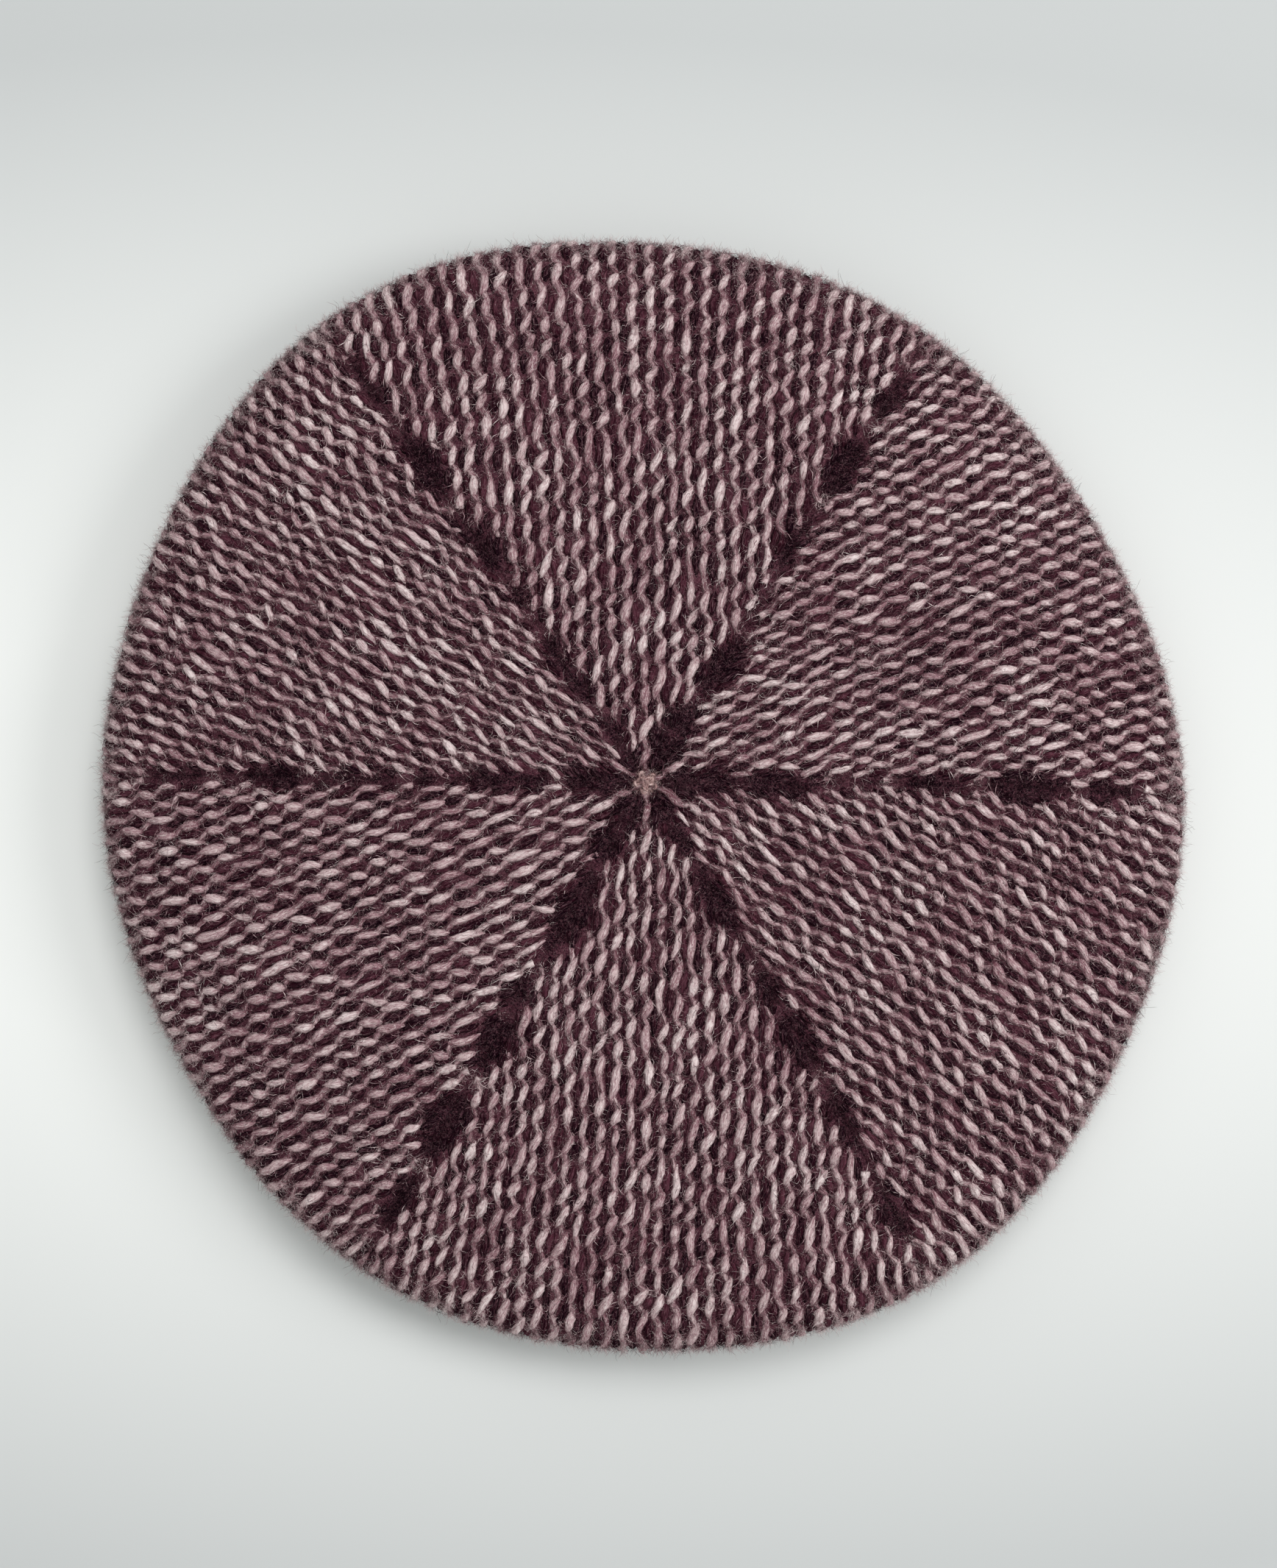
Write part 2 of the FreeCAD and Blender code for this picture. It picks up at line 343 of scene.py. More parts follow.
class Yarn:
    """Closed tubes of yarn and the closed, pointed fibres on them, gathered into one mesh.

    The tubes have the lower part of the UV map, a strip each, and the fibres the rest, a cell each.
    """

    def __init__(self):
        self.vertices, self.shade, self.grain = [], [], []
        self.faces, self.uv = {3: []}, {3: []}
        self.count = 0
        self.strips, self.cells = 0, 0
        self.roots = []
        self.random = np.random.default_rng(12)

    def _keep(self, vertices, shade, grain):
        """Adds vertices, and returns the number of the first."""
        first = self.count
        self.vertices.append(vertices.reshape(-1, 3))
        self.shade.append(shade.ravel())
        self.grain.append(grain.reshape(-1, 3))
        self.count += vertices.size // 3
        return first

    def _face(self, corners, u, v, cell, part):
        """Adds faces of one width. u and v run over a strip (part 0) or a cell (part 1) of the UV map."""
        width = corners.shape[-1]
        corners, u, v, cell = np.broadcast_arrays(corners, u, v, cell)
        self.faces.setdefault(width, []).append(corners.reshape(-1, width))
        self.uv.setdefault(width, []).append(
            np.stack([u, v, cell, np.full(u.shape, part)], -1).reshape(-1, 4))

    def lay(self, line, up, width, flatness, shade, sides, rough=0.12):
        """Lays tubes along lines, an array of (tubes, points, 3), and lets fibres grow from them."""
        along = unit(np.gradient(line, axis=1))
        side = unit(np.cross(up, along))
        up = np.cross(along, side)
        tubes, points = line.shape[:2]
        around = np.arange(sides) / sides * 2 * math.pi
        uneven = 1 + rough * self.random.uniform(-1, 1, (tubes, points, sides))
        across = width[..., None] * np.cos(around) * uneven
        over = flatness * width[..., None] * np.sin(around) * uneven
        ring = line[:, :, None] + side[:, :, None] * across[..., None] + up[:, :, None] * over[..., None]
        steps = np.linalg.norm(np.diff(line, axis=1), axis=-1)
        travelled = np.concatenate([np.zeros((tubes, 1)), np.cumsum(steps, axis=1)], 1)
        strip = self.strips + np.arange(tubes)
        grain = np.stack(np.broadcast_arrays(across + 9.7 * strip[:, None, None], over,
                                             travelled[..., None] * 0.2), -1)
        # painted shade: each ring is painted darker down its sides and underneath
        shade_with_painted_sides = shade[..., None] - painted_side_shade * (1 - np.sin(around))
        first = self._keep(ring, np.maximum(shade_with_painted_sides, 0), grain)
        index = first + np.arange(tubes * points * sides).reshape(tubes, points, sides)
        beside = np.roll(index, -1, axis=2)
        u, v = np.arange(sides + 1) / sides, np.linspace(0, 1, points)
        self._face(np.stack([index[:, :-1], beside[:, :-1], beside[:, 1:], index[:, 1:]], -1),
                   np.stack([u[:-1], u[1:], u[1:], u[:-1]], -1),
                   np.stack([v[:-1], v[:-1], v[1:], v[1:]], -1)[:, None], strip[:, None, None, None], 0)
        self._face(index[:, 0, ::-1], u[:-1], 0.0, strip[:, None], 0)
        self._face(index[:, -1], u[:-1], 1.0, strip[:, None], 0)
        self.strips += tubes
        root = np.concatenate([line, along, side, up, width[..., None], shade[..., None]], -1)
        self.roots.append(root.reshape(-1, root.shape[-1]))

    def grow(self, count, rng, length, radius, spread, curl, climb, lying=True, points=4, lift=0.0):
        """Grows fine curling fibres out of the tubes laid so far.

        length and climb, the height they rise to, are ranges. lift makes them paler than their roots.
        """
        everything = np.concatenate(self.roots)
        root = everything[rng.integers(0, len(everything), count)]
        at, along, side, up = (root[:, None, i:i + 3] for i in (0, 3, 6, 9))
        width, shade = root[:, -2], root[:, -1]
        share = np.linspace(0, 1, points)
        reach = rng.uniform(*length, count)
        heading = rng.normal(0, spread, count) + math.pi * rng.integers(0, 2, count)
        bend, phase = rng.normal(0, curl, count), rng.uniform(0, nearly_round, count)
        middle = (share[1:] + share[:-1]) / 2
        wave = 0.5 * curl * np.sin(5 * middle + phase[:, None])
        angle = heading[:, None] + bend[:, None] * middle + wave
        step = reach[:, None] / (points - 1)
        start = np.zeros((count, 1))
        ahead = np.concatenate([start, np.cumsum(np.cos(angle) * step, 1)], 1)
        across = np.concatenate([start, np.cumsum(np.sin(angle) * step, 1)], 1)
        aside = rng.uniform(-root_reach, root_reach, count)
        across = across + (aside * width)[:, None]
        rise = np.sin(math.pi * share) if lying else share ** 1.2
        height = root_rise * width * np.sqrt(np.maximum(1 - aside ** 2, 0))
        height = height[:, None] + rng.uniform(*climb, count)[:, None] * rise
        lines = at + along * ahead[..., None] + side * across[..., None] + up * height[..., None]
        shade = np.clip(shade + rng.uniform(*fibre_shade, count) + lift, 0, 1)
        self._fibres(lines, radius * rng.uniform(*fibre_size, (count, 1, 1, 1)), shade)

    def _fibres(self, lines, radii, shades):
        """Adds closed, pointed, three-sided fibres. lines is (fibres, points, 3)."""
        count, points = lines.shape[:2]
        along = unit(np.gradient(lines, axis=1))[:, 1:-1]
        leaning = np.where(np.abs(along[..., 2:]) > 0.9, (1.0, 0.0, 0.0), (0.0, 0.0, 1.0))
        side = unit(np.cross(leaning, along))
        up = np.cross(along, side)
        around = np.arange(3) / 3 * 2 * math.pi
        spokes = side[:, :, None] * np.cos(around)[:, None] + up[:, :, None] * np.sin(around)[:, None]
        inner = (points - 2) * 3
        rings = (lines[:, 1:-1, None] + spokes * radii).reshape(count, inner, 3)
        vertices = np.concatenate([lines[:, :1], rings, lines[:, -1:]], 1)
        first = self._keep(vertices, np.repeat(shades, inner + 2), vertices * 0.15)
        ring = 1 + np.arange(inner).reshape(points - 2, 3)
        beside = np.roll(ring, -1, axis=1)
        tips = np.concatenate([np.stack([np.full(3, 0), beside[0], ring[0]], -1),
                               np.stack([np.full(3, inner + 1), ring[-1], beside[-1]], -1)])
        walls = np.stack([ring[:-1], beside[:-1], beside[1:], ring[1:]], -1).reshape(-1, 4)
        u = np.concatenate([[0.5], np.tile([0.2, 0.5, 0.8], points - 2), [0.5]])
        v = np.concatenate([[0], np.repeat(np.arange(1, points - 1), 3), [points - 1]]) / (points - 1)
        cell = self.cells + np.arange(count)[:, None, None]
        each = first + (np.arange(count) * (inner + 2))[:, None, None]
        for faces in (walls, tips):
            if len(faces):
                self._face(faces[None] + each, u[faces], v[faces], cell, 1)
        self.cells += count

    def piece(self, name, material, slot, *replaces):
        """Makes one piece of everything laid and grown, with margins round the strips and cells."""
        divide = strips_share if self.cells else 1.0
        in_a_row = math.ceil(math.sqrt(max(self.cells, 1) * 4))  # four times as many as there are rows
        rows = math.ceil(max(self.cells, 1) / in_a_row)
        groups, placed = [], []
        for width, faces in self.faces.items():
            if not faces:
                continue
            groups.append(np.concatenate(faces))
            u, v, cell, part = np.concatenate(self.uv[width]).T
            strip_u = (cell + 0.12 + 0.76 * u) / self.strips
            strip_v = (0.01 + 0.98 * v) * divide
            cell_u = (np.mod(cell, in_a_row) + 0.2 + 0.6 * u) / in_a_row
            cell_v = divide + (1 - divide) * (np.floor(cell / in_a_row) + 0.06 + 0.88 * v) / rows
            placed.append(np.where(part[:, None], np.stack([cell_u, cell_v], -1),
                                   np.stack([strip_u, strip_v], -1)))
        vertices, shade, grain, uv = map(np.concatenate, (self.vertices, self.shade, self.grain, placed))
        mesh_piece(name, vertices, groups, material, replaces, shade, grain, uv)


def grid_faces(rows, columns, closed):
    """Quads of a grid of vertices, closed round its columns or open."""
    index = np.arange(rows * columns).reshape(rows, columns)
    beside = np.roll(index, -1, axis=1) if closed else index[:, 1:]
    index = index if closed else index[:, :-1]
    return np.stack([index[:-1], index[1:], beside[1:], beside[:-1]], -1).reshape(-1, 4)


def grid_uv(rows, columns, closed, low, high):
    """The UV map of such a grid, as wide as the map and from low to high in it."""
    across = columns if closed else columns - 1
    u = np.arange(across + 1) / across
    v = low + (high - low) * np.arange(rows) / (rows - 1)
    uv = np.empty((rows - 1, across, 4, 2))
    uv[..., 0] = np.stack([u[:-1], u[:-1], u[1:], u[1:]], -1)[None]
    uv[..., 1] = np.stack([v[:-1], v[1:], v[1:], v[:-1]], -1)[:, None]
    return uv.reshape(-1, 4, 2)


ground_depth = 0.6  # how far the felted ground lies under the fabric's face
rib_height = 0.45  # half the height from a rib's furrow to its ridge


def shell(name, node, s_from, s_to, step, angle_from=0.0, sweep=2 * math.pi, ribs=0, tone=0.1):
    """A closed slab of felted fabric over a stretch of the walk and an angle, with ribs if there are any.

    tone is the shade of the felt, as one number or as a function of the distance and the angle.
    """
    closed = sweep > nearly_round
    rows = max(2, round((s_to - s_from) / step)) + 1
    mean_radius = float(np.interp((s_from + s_to) / 2, walk.s, walk.r))
    columns = max(8, 8 * ribs, round(mean_radius * sweep / step)) + (0 if closed else 1)
    s = np.linspace(s_from, s_to, rows)[:, None]
    angle = angle_from + np.linspace(0, sweep, columns, endpoint=not closed)[None]
    x, y = s * np.cos(angle), s * np.sin(angle)
    lumps = 0.16 * lump_noise(x / 1.7, y / 1.7) + 0.12 * lump_noise(x / 0.8 + 9, y / 0.8)
    ridge = rib_height * np.cos(ribs * angle) if ribs else 0.0
    outer = place(s, angle, fabric / 2 - ground_depth + lumps + ridge)
    inner_lumps = 0.15 * lump_noise(x / 2.1 + 40, y / 2.1)
    inner = place(s, angle, -fabric / 2 + 0.25 + inner_lumps + ridge)
    vertices = np.concatenate([outer.reshape(-1, 3), inner.reshape(-1, 3)])
    if callable(tone):
        tone = np.tile(tone(*np.broadcast_arrays(s, angle)).ravel(), 2)
    size = rows * columns
    quads = grid_faces(rows, columns, closed)
    faces = [quads, size + quads[:, ::-1]]
    uv = [grid_uv(rows, columns, closed, 0.0, 0.58), grid_uv(rows, columns, closed, 0.62, 1.0)[:, ::-1]]
    index = np.arange(size).reshape(rows, columns)

    def wall(near, beside, flipped):
        quads = np.stack([near, beside, beside + size, near + size], -1)
        faces.append(quads[:, ::-1] if flipped else quads)
        uv.append(np.full((len(quads), 4, 2), (0.5, 0.6)))

    for row, flipped in ((index[0], False), (index[-1], True)):
        if closed:
            wall(row, np.roll(row, -1), flipped)
        else:
            wall(row[:-1], row[1:], flipped)
    if not closed:
        wall(index[:-1, 0], index[1:, 0], True)
        wall(index[:-1, -1], index[1:, -1], False)
    shade = tone + 0.18 * tone_noise(vertices[:, 0] / 4, vertices[:, 1] / 4)
    mesh_piece(name, vertices, [np.concatenate(faces)], felt_wool, (node,), shade, vertices,
               np.concatenate(uv))


# -------- materials
def linear(r, g, b):
    """A colour from its 0 to 255 screen values."""
    return tuple(c / 12.92 if c <= 0.04045 else ((c + 0.055) / 1.055) ** 2.4
                 for c in (r / 255, g / 255, b / 255)) + (1.0,)


def matte(name, roughness):
    """A new material, its nodes, its links and its shader."""
    material = bpy.data.materials.new(name)
    material.use_nodes = True
    nodes, links = material.node_tree.nodes, material.node_tree.links
    shader = nodes["Principled BSDF"]
    shader.inputs["Roughness"].default_value = roughness
    return material, nodes, links, shader


def colour_ramp(nodes, stops):
    """A colour ramp with a colour at each of its stops."""
    ramp = nodes.new("ShaderNodeValToRGB")
    elements = ramp.color_ramp.elements
    while len(elements) < len(stops):
        elements.new(0.5)
    for element, (position, colour) in zip(elements, stops):
        element.position = position
        element.color = linear(*colour)
    return ramp


relief_strength, relief_depth = 0.9, 0.25


def wool(name, ramp, fleck, fleck_share, hairs, grain=3.0, spread=0.3):
    """Dyed wool. Each stitch's shade picks a colour of the ramp, and flecks of another wool run through.

    hairs has a share and a colour for each of two sets of single fibres.
    """
    material, nodes, links, shader = matte(name, 0.95)
    shader.inputs["Specular IOR Level"].default_value = 0.05
    shade = nodes.new("ShaderNodeAttribute")
    shade.attribute_name = "shade"
    where = nodes.new("ShaderNodeAttribute")
    where.attribute_name = "grain"

    def ranged(value, low, high, to_low, to_high):
        node = nodes.new("ShaderNodeMapRange")
        limits = {"From Min": low, "From Max": high, "To Min": to_low, "To Max": to_high}
        for socket, limit in limits.items():
            node.inputs[socket].default_value = limit
        links.new(value, node.inputs["Value"])
        return node.outputs["Result"]

    def noise(scale, detail):
        texture = nodes.new("ShaderNodeTexNoise")
        texture.inputs["Scale"].default_value = scale
        texture.inputs["Detail"].default_value = detail
        links.new(where.outputs["Vector"], texture.inputs["Vector"])
        return texture.outputs["Fac"]

    fibre = noise(grain, 3.0)
    toned = nodes.new("ShaderNodeMath")
    toned.operation = "ADD"
    links.new(shade.outputs["Fac"], toned.inputs[0])
    links.new(ranged(fibre, 0.3, 0.7, -spread, spread), toned.inputs[1])
    colours = colour_ramp(nodes, ramp)
    links.new(toned.outputs["Value"], colours.inputs["Fac"])

    def blended(base, factor, colour):
        mixed = nodes.new("ShaderNodeMix")
        mixed.data_type = "RGBA"
        links.new(factor, mixed.inputs["Factor"])
        links.new(base, mixed.inputs["A"])
        mixed.inputs["B"].default_value = linear(*colour)
        return mixed.outputs["Result"]

    flecks = ranged(noise(grain * 0.6, 2.0), 0.56, 0.7, 0.0, fleck_share)
    coloured = blended(colours.outputs["Color"], flecks, fleck)
    # single fibres are thin winding lines, where a noise crosses its middle value
    for scale, (share, colour) in zip((0.5, 0.83), hairs):
        distance = nodes.new("ShaderNodeMath")
        distance.operation = "ABSOLUTE"
        links.new(ranged(noise(grain * scale, 1.5), 0.0, 1.0, -0.5, 0.5), distance.inputs[0])
        near = ranged(distance.outputs["Value"], 0.005, 0.02, share, 0.0)
        coloured = blended(coloured, near, colour)
    links.new(coloured, shader.inputs["Base Color"])
    relief = nodes.new("ShaderNodeBump")
    relief.inputs["Strength"].default_value = relief_strength
    relief.inputs["Distance"].default_value = relief_depth * MM
    links.new(fibre, relief.inputs["Height"])
    links.new(relief.outputs["Normal"], shader.inputs["Normal"])
    return material


pale_ramp = ((0.0, (98, 60, 69)), (0.3, (144, 108, 115)), (0.62, (186, 159, 161)), (1.0, (222, 206, 205)))
dark_ramp = ((0.0, (15, 0, 8)), (0.5, (44, 12, 23)), (1.0, (90, 49, 61)))
felt_ramp = ((0.0, (13, 0, 7)), (0.5, (80, 43, 54)), (1.0, (132, 93, 100)))
taupe_ramp = ((0.0, (124, 88, 90)), (0.5, (186, 150, 146)), (1.0, (234, 210, 204)))
pale_hairs = ((0.65, (84, 52, 60)), (0.7, (226, 210, 208)))
dark_hairs = ((0.5, (128, 98, 104)), (0.5, (86, 54, 63)))
pale_wool = wool("blush_wool", pale_ramp, (118, 80, 86), 0.6, pale_hairs)
dark_wool = wool("plum_wool", dark_ramp, (104, 68, 77), 0.5, dark_hairs)
felt_wool = wool("felted_plum_wool", felt_ramp, (98, 62, 70), 0.6, dark_hairs, grain=2.4)
rib_wool = wool("ribbed_plum_wool", dark_ramp, (92, 58, 68), 0.5, dark_hairs)
closing_wool = wool("taupe_wool", taupe_ramp, (116, 84, 80), 0.5, pale_hairs, spread=0.25)

# -------- stitches
row_stray = 0.36  # how far stitches stray along their column, in repeats
core_points = 5.5  # places along a column's core, in each repeat
spill = 3.5  # strokes are laid out this far past the stretch they fill
stroke_stray = 0.16  # how far a stroke strays across its column, in pitches
stroke_ends = 0.05  # half a stroke's width at its ends, in pitches
patch_depth = 0.8  # how much deeper pale strokes lie in a dark patch


def column_rows(column, s_from, s_to, drift):
    """Distances along a column, and how many repeats along it each one is. drift picks its noise."""
    grid = np.append(np.arange(s_from, s_to, 0.5), s_to)
    rows = row_distance(column, grid) / repeat - column * column_shift
    return grid, rows + row_stray * tone_noise(column * 0.9 + drift, grid / 10)


def column_frame(column, s, axis, lift):
    """Places on a column, with unit vectors across it and out of the fabric, and the pitch there."""
    line = place(s, axis + column_angle(column, s), lift)
    up = outward(s, axis + column_angle(column, s))
    nearer = column - math.copysign(0.5, column if column else -1)
    beside = place(s, axis + column_angle(nearer, s), lift)
    side = unit(np.cross(up, unit(np.gradient(line, axis=-2))))
    pitch = 2 * np.abs(((line - beside) * side).sum(-1))
    return line, side, up, pitch


def core(yarn, column, s_from, s_to, axis, wide, lift, shade, patched):
    """The low winding strand that runs the whole length of a column."""
    grid, rows = column_rows(column, s_from, s_to, axis * 10)
    turns = np.linspace(rows[0], rows[-1], max(4, round((rows[-1] - rows[0]) * core_points)))
    s = np.interp(turns, rows, grid)
    dark = darkness(column, s, axis) if patched else np.zeros(len(s))
    line, side, up, pitch = column_frame(column, s, axis, fabric / 2 - ground_depth + lift - 1.2 * dark)
    uneven = tone_noise(column * 3.1 + axis * 7, s / 3.2)
    winding = 0.1 * uneven - 0.13 * np.sin(2 * math.pi * turns)
    line = line + side * (pitch * winding)[:, None]
    width = pitch * wide * (1 + 0.3 * tone_noise(column * 2.3 + axis, s / 2.5)) * (1 - 0.4 * dark)
    tone = np.clip(shade * (1 + 0.6 * tone_noise(column * 4.7 + axis, s / 4)) * (1 - dark), 0, 1)
    yarn.lay(line[None], up[None], width[None], 0.8, tone[None], 5)


def strokes(yarn, column, s_from, s_to, axis, rng, patched, phase, reach, wide, lean, lift, rise, shade,
            bright=1.0, sides=6, points=7):
    """One tapering stroke of yarn a repeat, leaning across its column, up a whole column.

    reach is half a stroke's length in repeats. wide, its half width, and lean are shares of the pitch.
    shade is a range, and bright, if it is over 1, makes its darker end the commoner one.
    """
    begins_here = s_from < crown_end - 1
    grid, rows = column_rows(column, s_from - (0 if begins_here else spill), s_to + spill, axis * 10)
    first, last = np.interp((s_from, s_to), grid, rows)
    early = 0.4 if begins_here else 0.0  # such a column may begin with part of a stroke
    middle = np.arange(math.ceil(first - phase - early), math.ceil(last - phase)) + phase
    count = len(middle)
    if count == 0:
        return
    half = rng.uniform(*reach, count)
    size, slant, tone = rng.uniform(*wide, count), rng.uniform(*lean, count), rng.uniform(0, 1, count)
    near, far = np.maximum(middle - half, rows[0]), np.minimum(middle + half, rows[-1])
    centre = np.interp((near + far) / 2, rows, grid)
    shown = darkness(column, centre, axis) < 0.5 if patched else np.full(count, True)
    turns = near[:, None] + (far - near)[:, None] * np.linspace(0, 1, points)
    u = (turns - middle[:, None]) / half[:, None]
    swell = np.maximum(1 - np.abs(u) ** 1.9, 0) ** 0.9
    s = np.interp(turns, rows, grid)
    dark = darkness(column, s, axis)
    depth = ground_depth + (patch_depth * dark if patched else 0.0)
    line, side, up, pitch = column_frame(column, s, axis, fabric / 2 - depth + lift + rise * swell)
    pitch = np.minimum(pitch, widest_pitch)
    stray = stroke_stray * tone_noise(column * 3.1 + axis * 7, s / 3.2)
    line = line + side * (pitch * (stray - slant[:, None] * u))[..., None]
    width = pitch * (stroke_ends + size[:, None] * swell)
    broad = tone_noise(line[..., 0] / 14 + 50, line[..., 1] / 14 + 50)
    low, high = shade
    tones = low + (high - low) * tone[:, None] ** bright
    # painted shade: a stroke's narrow ends, where it sinks into the fabric, are painted darker than its
    # swollen middle
    tones = np.clip(tones + 0.14 * broad + 0.35 * (swell - 0.75) - 0.4 * dark, 0, 1)
    if shown.any():
        yarn.lay(line[shown], up[shown], width[shown], 0.72, tones[shown], sides, rough=0.22)


pale_stitch = dict(phase=0.0, reach=(0.36, 0.56), wide=(0.2, 0.32), lean=(0.12, 0.44), lift=0.05,
                   rise=0.35, shade=(0.33, 0.77))
pale_link = dict(phase=0.5, reach=(0.2, 0.36), wide=(0.08, 0.22), lean=(-0.34, -0.04), lift=-0.08,
                 rise=0.2, shade=(0.08, 0.62), bright=1.2, sides=4, points=5)
plum_stitch = dict(phase=0.0, reach=(0.42, 0.56), wide=(0.2, 0.3), lean=(0.05, 0.2), lift=-0.3,
                   rise=0.4, shade=(0.05, 0.75), bright=1.4, sides=5, points=5)


def pale_column(yarn, column, s_from, s_to, axis, rng, patched=True):
    """The pale yarn up one column: a thin core, and on it the leaning strokes of the stitches."""
    core(yarn, column, s_from, s_to, axis, wide=0.22, lift=-0.28, shade=0.28, patched=patched)
    for style in (pale_link, pale_stitch):
        strokes(yarn, column, s_from, s_to, axis, rng, patched, **style)


def plum_column(yarn, column, s_from, s_to, axis, rng):
    """The plum yarn between two pale columns: a round stitch in each bay that the pale ones leave."""
    strokes(yarn, column, s_from, s_to, axis, rng, patched=False, **plum_stitch)


lying = dict(length=(1.5, 4.5), radius=0.038, spread=1.0, curl=1.5, climb=(0.15, 0.9), points=3)
strand = dict(length=(1.5, 4.5), radius=0.1, spread=0.2, curl=0.8, climb=(-0.05, 0.22), points=3)
short_nap = dict(length=(0.8, 3.0), radius=0.032, spread=1.2, curl=1.8, climb=(0.5, 2.7), lying=False,
                 points=3, lift=0.5)
tail_fibre = dict(length=(1.0, 3.5), radius=0.028, spread=0.8, curl=1.2, climb=(0.0, 0.5))
long_curls = dict(length=(1.5, 5.0), radius=0.028, spread=1.2, curl=2.6, climb=(1.5, 4.5), lying=False,
                  points=7, lift=0.15)
fibre_styles = (strand, lying, short_nap, long_curls)
# how many fibres of each of those styles grow on the pale yarn and on the plum one
crown_fibres = ((7500, 12500), (3000, 7500))
rim_fibres = ((2600, 3200, 11500, 160), (700, 1400, 1500, 130))
underside_fibres = ((1300, 1500), (600, 1200))


def two_yarns(name, node, pale, dark, fibres, rng):
    """Grows the fibres of a pale yarn and a plum one, and makes a piece of each."""
    for yarn, counts in zip((pale, dark), fibres):
        for count, style in zip(counts, fibre_styles):
            yarn.grow(count, rng, **style)
    pale.piece(name + "_pale_yarn", pale_wool, "pale_yarn", node)
    dark.piece(name + "_dark_yarn", dark_wool, "dark_yarn", node)


def patch_column(yarn, column, s_from, s_to, axis, rng):
    """The plum stitches that take the pale ones' places where a column first crosses a dark patch."""
    longest = 12
    s = np.arange(s_from, s_to, 0.5)
    inside = s[darkness(column, s, axis) > 0.5]
    if len(inside):
        plum_column(yarn, column, inside[0], min(inside[0] + longest, inside[-1]), axis, rng)


# -------- the crown
ray_start = 0.8  # the middle column of each wedge runs in this close to the centre
mixed_tone = 0.42  # the felt's shade where the two yarns lie side by side


def crown_wedge(index):
    """One wedge: its felted ground, the columns of both yarns, and the plum stitches of the patches."""
    node = "crown_wedge_%d" % (index + 1)
    axis = wedge_axes[index]
    rng = np.random.default_rng(100 + index)

    def tone(s, angle):
        column = (angle - axis) / half_sector * columns_across(s)
        return mixed_tone * (1 - darkness(column, s, axis))

    shell(node + "_ground", node, centre_end, crown_end, 1.15, index * sector, sector,
          tone=tone)
    pale, dark = Yarn(), Yarn()
    for column in range(1 - half_columns, half_columns):
        start = column_start(abs(column) + 0.05) if column else ray_start
        pale_column(pale, column, start, crown_end, axis, rng, patched=column != 0)
    for column in np.arange(-half_columns + 0.5, half_columns, 0.5):
        start = max(column_start(abs(column) + 0.1), 2.5)
        if column % 1:
            plum_column(dark, column, start, crown_end, axis, rng)
        else:
            patch_column(dark, column, start, crown_end, axis, rng)
    two_yarns(node, node, pale, dark, crown_fibres, rng)


def decrease_line(index):
    """The line of double decreases: a sunk column of plum stitches."""
    node = "decrease_line_%d" % (index + 1)
    axis = index * sector - half_sector
    rng = np.random.default_rng(200 + index)
    yarn = Yarn()
    plum_column(yarn, half_columns, centre_end - 4, crown_end, axis, rng)
    yarn.grow(900, rng, **lying)
    yarn.piece(node + "_stitches", dark_wool, "decrease_stitches", node)


def ring_of_panels(name, node, s_from, s_to, seed, fibres, step):
    """A full ring of the two-colour knit, in six panels that follow the crown's wedges."""
    shell(name + "_ground", node, s_from, s_to, step, tone=mixed_tone)
    for index, axis in enumerate(wedge_axes):
        rng = np.random.default_rng(seed + index)
        pale, dark = Yarn(), Yarn()
        for column in range(1 - half_columns, half_columns + 1):
            pale_column(pale, column, s_from, s_to, axis, rng, patched=False)
        for column in np.arange(-half_columns + 0.5, half_columns):
            plum_column(dark, column, s_from, s_to, axis, rng)
        two_yarns("%s_%d" % (name, index + 1), node, pale, dark, fibres, rng)


def crown_centre():
    """The gathered middle, drawn together by a few turns of the closing yarn."""
    shell("crown_centre_ground", "crown_centre", 0.3, centre_end, 0.5)
    yarn = Yarn()
    loops = []
    around = np.linspace(0, 6.8, 70)  # a little over one turn
    for size, waves, first in ((1.6, 3, 0.4), (2.3, 5, 2.1)):
        swing = np.sin(waves * around + first)
        loops.append((size + 0.5 * swing, around + first, 0.3 + 0.5 * np.cos(waves * around)))
    for heading, reach, bow in ((0.3, 2.9, 0.7), (1.1, 2.4, -0.6), (2.0, 2.8, 0.4), (2.7, 2.2, -0.3)):
        across = np.linspace(-1, 1, 18)
        x, y = reach * across, bow * np.cos(across * 1.5) + 0.4 * np.sin(4 * across + heading)
        loops.append((np.hypot(x, y), np.arctan2(y, x) + heading, 0.95 - 0.9 * across ** 2))
    for radius, angle, lift in loops:
        line = place(radius, angle, fabric / 2 - ground_depth + lift)
        width = 0.38 + 0.09 * lump_noise(line[:, 0] * 2, line[:, 1] * 2)
        shade = 0.45 + 0.4 * lump_noise(line[:, 0] / 1.3, line[:, 1] / 1.3)
        up = np.full((1, len(line), 3), (0.0, 0.0, 1.0))
        yarn.lay(line[None], up, width[None], 1.0, shade[None], 7)
    yarn.grow(420, np.random.default_rng(500), **tail_fibre)
    yarn.piece("closing_thread_loops", closing_wool, "closing_yarn", "closing_thread")


# -------- the head opening
rib_count = 102
rib_row = 2.9  # height of one stitch of the ribbing
leg_offset, leg_swing = 0.62, 0.3  # how far a rib's legs lie to its sides, and swing there
edge_twist = 0.5  # radius at which the cast-on edge's plies wind


def increase_round():
    """The round in which the ribbing's stitches are doubled to begin the underside."""
    shell("increase_round_ground", "increase_round", underside_end, increase_end, 1.2)
    yarn = Yarn()
    for axis in wedge_axes:
        for column in np.arange(-half_columns, half_columns, 0.5):
            core(yarn, column, underside_end, increase_end, axis, wide=0.28, lift=0.0, shade=0.35,
                 patched=False)
    yarn.piece("increase_round_stitches", dark_wool, "dark_yarn", "increase_round")


